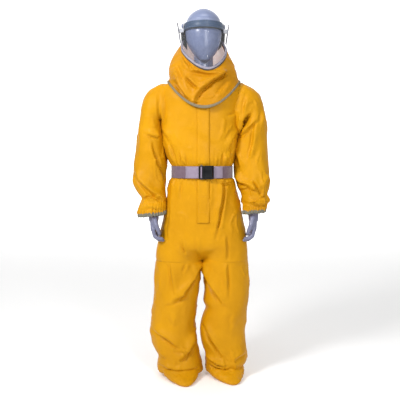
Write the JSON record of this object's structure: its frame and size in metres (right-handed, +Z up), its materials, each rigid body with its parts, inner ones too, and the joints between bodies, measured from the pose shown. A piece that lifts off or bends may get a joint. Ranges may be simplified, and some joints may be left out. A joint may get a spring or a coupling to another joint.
{
  "type": "chemical protective suit",
  "caption": "Hooded one-piece protective suit on its display form, with a waist belt, side-release buckle, tilting clear visor and shoulder cape.",
  "frame": {"origin": "the middle of the suit's footprint, on the floor under the soles", "axes": "+Z up, -Y the suit's front, +X the wearer's left"},
  "size_m": [0.6666, 0.334, 1.809],
  "materials": {
    "suit_fabric": "coated, soft sheen",
    "binding_tape": "woven, matt",
    "elastic_knit": "ribbed knit, matt",
    "lining_fabric": "brushed, matt",
    "webbing": "woven webbing, matt",
    "black_plastic": "moulded, satin",
    "helmet_plastic": "moulded, gloss",
    "band_plastic": "moulded, satin",
    "seal_rubber": "matt",
    "ring_rubber": "satin",
    "clear_plastic": "clear, polished",
    "bracket_plastic": "moulded, gloss",
    "zip_metal": "satin",
    "form_gloss": "glossy paint"
  },
  "bodies": {
    "suit": {"coverall_body": "suit_fabric", "sleeve_right": "suit_fabric", "sleeve_left": "suit_fabric", "leg_right": "suit_fabric", "leg_left": "suit_fabric", "bootee_right": "suit_fabric", "bootee_left": "suit_fabric", "collar": "suit_fabric", "storm_flap": "suit_fabric", "cape": "suit_fabric", "zip_tape_right": "binding_tape", "zip_tape_left": "binding_tape", "cape_hem_tape": "binding_tape", "cuff_right": "elastic_knit", "cuff_left": "elastic_knit", "hood_lining": "lining_fabric", "sweatband": "lining_fabric", "belt_webbing": "webbing", "belt_fold": "webbing", "crown_strap_across": "webbing", "crown_strap_along": "webbing", "buckle_socket": "black_plastic", "headband": "black_plastic", "helmet_shell": "helmet_plastic", "brow_band": "band_plastic", "cape_clamp": "seal_rubber", "side_seal_right": "seal_rubber", "side_seal_left": "seal_rubber", "visor_ring": "ring_rubber", "display_head": "form_gloss", "display_neck": "form_gloss", "display_hand_right": "form_gloss", "display_hand_left": "form_gloss"},
    "visor_unit": {"visor": "clear_plastic", "pivot_bracket_right": "bracket_plastic", "pivot_bracket_left": "bracket_plastic"},
    "pivot_knob_right": {"pivot_knob_right": "helmet_plastic"},
    "pivot_knob_left": {"pivot_knob_left": "helmet_plastic"},
    "buckle_plug": {"buckle_plug": "black_plastic", "belt_wrap": "webbing", "belt_tail": "webbing"},
    "buckle_prong_upper": {"buckle_prong_upper": "black_plastic"},
    "buckle_prong_lower": {"buckle_prong_lower": "black_plastic"},
    "zip_slider": {"zip_slider": "zip_metal", "zip_pull": "zip_metal"},
    "ratchet_knob": {"ratchet_knob": "black_plastic"}
  },
  "joints": [
    {"name": "visor_tilt", "type": "hinge", "parent": "suit", "child": "visor_unit", "pos_m": [0.0105, 0.02837, 1.722], "axis": [-0.9903, -0.1392, 0], "range_deg": [0, 80]},
    {"name": "pivot_knob_right_turn", "type": "hinge", "parent": "suit", "child": "pivot_knob_right", "pos_m": [-0.09348, 0.01376, 1.722], "axis": [-0.9903, -0.1392, 0], "continuous": true},
    {"name": "pivot_knob_left_turn", "type": "hinge", "parent": "suit", "child": "pivot_knob_left", "pos_m": [0.11448, 0.04299, 1.722], "axis": [0.9903, 0.1392, 0], "continuous": true},
    {"name": "buckle_release", "type": "slide", "parent": "suit", "child": "buckle_plug", "axis": [-1, 0, 0], "range_m": [0, 0.034]},
    {"name": "buckle_prong_upper_press", "type": "hinge", "parent": "buckle_plug", "child": "buckle_prong_upper", "pos_m": [0.0168, -0.10873, 1.027], "axis": [0, 1, 0], "range_deg": [0, 5], "stiffness_Nm_per_rad": 0.6},
    {"name": "buckle_prong_lower_press", "type": "hinge", "parent": "buckle_plug", "child": "buckle_prong_lower", "pos_m": [0.0168, -0.10873, 0.993], "axis": [0, -1, 0], "range_deg": [0, 5], "stiffness_Nm_per_rad": 0.6},
    {"name": "zip_slide", "type": "slide", "parent": "suit", "child": "zip_slider", "axis": [0, 0, -1], "range_m": [0, 0.58]},
    {"name": "ratchet_turn", "type": "hinge", "parent": "suit", "child": "ratchet_knob", "pos_m": [-0.0052, 0.14008, 1.719], "axis": [-0.1392, 0.9903, 0], "continuous": true}
  ]
}
